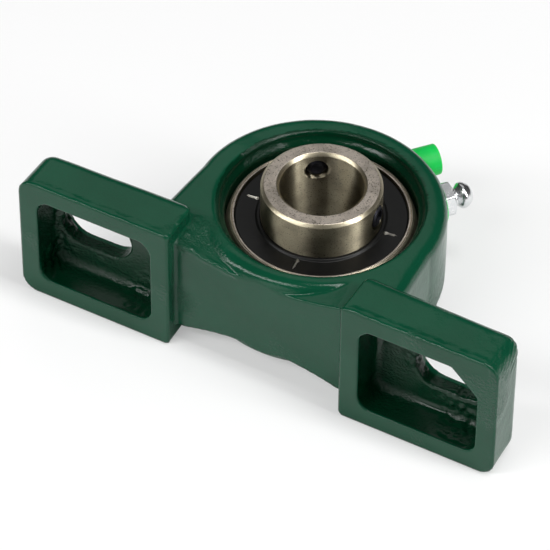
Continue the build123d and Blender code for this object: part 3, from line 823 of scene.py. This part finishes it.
# Node tree that sets copies of a small mesh round the shaft
copies, given = start_tree(
    "copies_round_shaft", Copy="Object", Count="Int", Spacing="Float", Start="Float", Shaft_Height="Float",
    Material="Material")
index = add_node(copies, "GeometryNodeInputIndex")
stepped = add_node(copies, "ShaderNodeMath", operation="MULTIPLY_ADD", inputs={
    0: index.outputs[0], 1: given.outputs["Spacing"], 2: given.outputs["Start"]})
backwards = add_node(copies, "ShaderNodeMath", operation="MULTIPLY", inputs={0: stepped.outputs[0], 1: -1.0})
turn = add_node(copies, "ShaderNodeCombineXYZ", {"Y": backwards.outputs[0]})
centre = add_node(copies, "ShaderNodeCombineXYZ", {"Z": given.outputs["Shaft Height"]})
points = add_node(copies, "GeometryNodePoints", {
    "Count": given.outputs["Count"], "Position": centre.outputs[0]})
shape = add_node(copies, "GeometryNodeObjectInfo", {"Object": given.outputs["Copy"]})
placed = add_node(copies, "GeometryNodeInstanceOnPoints", {
    "Points": points.outputs[0], "Instance": shape.outputs["Geometry"], "Rotation": turn.outputs[0]})
end_tree(copies, given, placed)

# Blackened sheet: smooth and near black, with faint rolling haze; light catches its creases
slinger_black = mottled(
    "blackened_spring_steel", ("0D0D0D", "1B1B1A"), 500.0, 3.0, (0.3, 0.46), {"Metallic": 0.4})
# Painted highlight on the crease tops: bright bare steel in patches of half a millimetre, with the black
# between them
crease_highlight_steel = mottled("rubbed_spring_steel", ("3C3C39", "CDC9BE"), 1800.0, 2.0, 0.42, {"Metallic": 1.0})
for side, name in ((-1, "front_slinger"), (1, "rear_slinger")):
    top = side * slinger_outside
    outline = softened([
        (collar, side * slinger_inside), (slinger_rim, side * slinger_inside), (slinger_rim, top),
        (slinger_hub + 0.35 * MM, top), (slinger_hub, top + side * slinger_lip),
        (collar, top + side * slinger_lip)], 0.2 * MM)
    disc = turned(f"{name}_stamped", outline)
    rows = []
    for reach, swell in crease_spine:
        wide, high = crease_half * min(swell, 1.9), crease_height * min(swell, 1.35)
        rows.append([(reach, top - side * 0.1 * MM + side * lift * (high + 0.1 * MM), z)
                     for z, lift in ((-wide, 0), (-wide * 0.5, 0.6), (0, 1), (wide * 0.5, 0.6), (wide, 0))])
    stamp = skinned("crease_stamp", rows)
    apply_tree(disc, copies, copy=stamp, count=crease_count, spacing=math.tau / crease_count,
               start=math.radians(crease_turn), shaft_height=shaft_height, material=slinger_black)
    bpy.data.objects.remove(stamp)
    finished(disc, slinger_black, crease_highlight_steel, sharp=50)
    # The crease tops that stand proud get the bright steel, as a painted highlight
    for face in disc.data.polygons:
        proud = side * face.center.y > slinger_outside + highlight_height
        face.material_index = int(proud and from_axis(face.center) > highlight_from)
    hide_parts(name)
    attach(disc, "inner_race")

# Balls: eight chrome-steel balls, ground and lapped to a mirror. Each is a body of its own, so the
# node tree makes one ball at a time at its number's place on the pitch circle.
ball_count = 8
ball_radius = 3.969 * MM
ball_pitch = 16.75 * MM
ball_steel, tree = new_material("lapped_chrome_steel")
# Lapped chrome steel: a bright mirror with a thin film of grease
place = add_node(tree, "ShaderNodeTexCoord").outputs["Object"]
film = add_node(tree, "ShaderNodeTexNoise", {"Vector": place, "Scale": 300.0, "Detail": 2.0})
slick = add_node(tree, "ShaderNodeMapRange", {"Value": film.outputs[0], "To Min": 0.04, "To Max": 0.12})
metal = add_node(tree, "ShaderNodeBsdfPrincipled", {
    "Base Color": colour("D0CFCC"), "Metallic": 1.0, "Roughness": slick.outputs[0]})
add_node(tree, "ShaderNodeOutputMaterial", {"Surface": metal.outputs[0]})
sphere = bmesh.new()
bmesh.ops.create_uvsphere(sphere, u_segments=40, v_segments=24, radius=ball_radius)
bmesh.ops.translate(sphere, verts=sphere.verts, vec=(ball_pitch, 0, 0))
master = new_piece("ball_master", plain_mesh("lapped_ball", sphere))
for number in range(1, ball_count + 1):
    ball = new_piece(f"ball_{number}_lapped", bpy.data.meshes.new("ball"))
    apply_tree(ball, copies, copy=master, count=1, spacing=0.0,
               start=math.tau * (number - 0.5) / ball_count, shaft_height=shaft_height, material=ball_steel)
    finished(ball, ball_steel, sharp=180)
    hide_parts(f"ball_{number}")
    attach(ball, f"ball_{number}")
bpy.data.objects.remove(master)

# Cage: two ribbons of mild steel strip, pressed into pockets round the balls.
# Eight rivets with round heads hold the halves together between the balls.
rivet_radius = 0.65 * MM
rivet_head = 1.1 * MM
rivet_reach = 0.5 * MM
rivet_dome = 0.45 * MM
# Pressed strip: plain grey steel, satin, with darker drawing marks about a millimetre apart
cage_steel = mottled("pressed_mild_steel", ("7C7B78", "A5A4A1"), 900.0, 3.0, 0.36, {"Metallic": 1.0})
for name in ("front_cage", "rear_cage"):
    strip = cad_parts[name].data
    strip.materials.clear()
    strip.materials.append(cage_steel)
half_rivet = softened([
    (0, rivet_reach + rivet_dome), (0.6 * rivet_head, rivet_reach + 0.8 * rivet_dome),
    (rivet_head, rivet_reach), (rivet_radius, rivet_reach)], 0.2 * MM)
mirrored = [(radius, -along) for radius, along in reversed(half_rivet)]
pattern = turned("rivet_pattern", half_rivet + mirrored, Vector((ball_pitch, 0, 0)), along_shaft, 20)
rivets = new_piece("cage_rivets_headed", bpy.data.meshes.new("rivets"))
apply_tree(rivets, copies, copy=pattern, count=ball_count, spacing=math.tau / ball_count, start=0.0,
           shaft_height=shaft_height, material=cage_steel)
bpy.data.objects.remove(pattern)
finished(rivets, cage_steel)
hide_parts("cage_rivets")
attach(rivets, "cage")

# Grease nipple: free-cutting steel turned from hexagon bar and plated with bright zinc.
# Its waisted round head takes the grease gun's coupler; its thread is in the hub.
nipple_turn = 50.0
nipple_y = -2.2 * MM
nipple_seat = 29.5 * MM
ring_thickness = 1.1 * MM
hex_width = 8.0 * MM
hex_top = 3.9 * MM
nipple_top = 9.1 * MM
nipple_end = -4.6 * MM
nipple_thread = 3.0 * MM
nipple_head = 3.25 * MM
nipple_mouth = 0.7 * MM
chamber_radius = 1.2 * MM
chamber_floor = 3.85 * MM
nipple_axis = outward_at(nipple_turn)
nipple_place = shaft_line + along_shaft * nipple_y + nipple_axis * nipple_seat
# Bright zinc: a cool mirror with a slight haze in patches of a millimetre or two
plated = mottled("bright_zinc_plate", ("D2D5D7", "F4F5F5"), 700.0, 2.0, (0.18, 0.32), {"Metallic": 1.0})

bar = 0.97 * hex_width / math.sqrt(3)
hexagon = turned("nipple_hexagon", [
    (0, ring_thickness), (hex_width / math.sqrt(3), ring_thickness), (hex_width / math.sqrt(3), hex_top),
    (0, hex_top)], origin, up, 6)
chamfers = turned("nipple_chamfers", [
    (0, ring_thickness), (bar - 0.4 * MM, ring_thickness), (bar, ring_thickness + 0.3 * MM),
    (bar, hex_top - 0.4 * MM), (bar - 0.6 * MM, hex_top), (0, hex_top)], origin, up, 96)
combine(hexagon, chamfers, way="INTERSECT")
body = softened([
    (nipple_mouth, nipple_end), (nipple_thread - 0.4 * MM, nipple_end),
    (nipple_thread, nipple_end + 0.4 * MM), (nipple_thread, 1.6 * MM),
    (2.7 * MM, 3.0 * MM), (2.7 * MM, hex_top + 0.15 * MM), (2.1 * MM, hex_top + 0.5 * MM),
    (2.05 * MM, hex_top + 1.15 * MM), (nipple_head, hex_top + 2.3 * MM), (nipple_head, hex_top + 3.2 * MM),
    (2.5 * MM, hex_top + 4.55 * MM), (1.5 * MM, nipple_top), (nipple_mouth, nipple_top - 0.05 * MM),
    (nipple_mouth, nipple_top - 0.5 * MM), (chamber_radius, nipple_top - 0.5 * MM),
    (chamber_radius, chamber_floor), (nipple_mouth, chamber_floor)], 0.45 * MM, steps=5)
nipple = turned("grease_nipple_plated", body, origin, up, 96)
combine(nipple, hexagon, way="UNION")
finished(nipple, plated, sharp=30)
to_place(nipple, nipple_place, nipple_axis)
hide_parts("grease_nipple")
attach(nipple, "housing")

# Check ball and spring of the nipple: a small steel ball that a coil spring presses against the mouth.
# The spring is drawn wire that the node tree winds, in the same plain grey steel as the cage. It is
# squashed as the ball goes down on it.
check_radius = 0.95 * MM
check_height = 7.936 * MM
wire_radius = 0.125 * MM
coil_radius = 0.8 * MM
coil_length = 3.6 * MM
coil_top = 7.224 * MM
check_arc = [(0, -check_radius), *arc((0, 0), check_radius, -75, 75, 11), (0, check_radius)]
check_ball = turned("nipple_ball_lapped", check_arc, origin, up, 32)
finished(check_ball, ball_steel, sharp=180)
to_place(check_ball, nipple_place + nipple_axis * check_height, nipple_axis)
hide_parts("nipple_ball")
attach(check_ball, "check_ball")
spring = new_piece("nipple_spring_wound", bpy.data.meshes.new("spring"))
apply_tree(spring, winding, turns=4.0, radius=coil_radius, length=coil_length, start=0.0,
           wire_radius=wire_radius, wire_sides=10, material=cage_steel)
finished(spring, cage_steel, sharp=60)
to_place(spring, nipple_place + nipple_axis * (coil_top - coil_length), nipple_axis)
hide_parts("nipple_spring")
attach(spring, "housing")
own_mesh(spring)

# Dust cap and its ring: moulded in one piece from soft polyethylene, bright green and slightly clear.
# The ring sits under the nipple's hexagon, and the strap lets the cap lie on the hub.
ring_outside = 5.7 * MM
ring_inside = 3.1 * MM
cap_reach = 13.7 * MM
cap_radius = 3.85 * MM
cap_hollow = 3.35 * MM
cap_height = 6.7 * MM
cap_floor = 1.0 * MM
strap_inside = 30.5 * MM
strap_outside = 31.5 * MM
strap_half = 1.6 * MM
strap_start = 6.05 * MM
strap_steps = 14
hub_top = 30.2 * MM
cap_rest = 10.0 * MM
cap_voxel = 0.14 * MM
# Polyethylene: strong clear green that glows a little where light gets in, with a soft waxy shine
cap_green = mottled(
    "green_polyethylene", ("00BA4A", "04CE58"), 350.0, 3.0, (0.42, 0.55), {
        "IOR": 1.4, "Subsurface Weight": 0.25, "Subsurface Scale": 1.5 * MM,
        "Subsurface Radius": (0.4, 1.0, 0.4)})

collar_ring = softened([
    (ring_inside, 0), (ring_outside, 0), (ring_outside, ring_thickness), (ring_inside, ring_thickness)],
    0.35 * MM, steps=4)
cap_ring = turned("cap_ring_moulded", collar_ring, nipple_place, nipple_axis, 96)
finished(cap_ring, cap_green, sharp=50)
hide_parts("cap_ring")
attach(cap_ring, "housing")

towards_top = along_shaft.cross(nipple_axis) * -1
cap_base = math.sqrt(hub_top**2 - cap_rest**2) + 0.3 * MM - nipple_seat
cup = turned("dust_cap_moulded", softened([
    (0, cap_base), (cap_radius, cap_base), (cap_radius, cap_base + cap_height),
    (cap_hollow, cap_base + cap_height), (cap_hollow, cap_base + cap_floor), (0, cap_base + cap_floor)],
    0.3 * MM), nipple_place + towards_top * cap_reach, nipple_axis, 96)
strap_rows = []
for k in range(strap_steps + 1):
    reach = strap_start + (cap_reach - 0.6 * cap_radius - strap_start) * k / strap_steps
    row = []
    for radius, y in ((strap_inside, -strap_half), (strap_inside, strap_half),
                      (strap_outside, strap_half), (strap_outside, -strap_half)):
        rise = math.sqrt(radius**2 - reach**2) - nipple_seat
        row.append(nipple_place + towards_top * reach + nipple_axis * rise + along_shaft * y)
    strap_rows.append(row)
combine(cup, skinned("strap", strap_rows), way="UNION")
add_modifier(cup, "REMESH", mode="VOXEL", voxel_size=cap_voxel)
add_modifier(cup, "SMOOTH", factor=0.5, iterations=4)
settle(cup)
cup.data.materials.clear()
cup.data.materials.append(cap_green)
cup.data.shade_smooth()
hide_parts("nipple_cap")
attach(cup, "dust_cap")
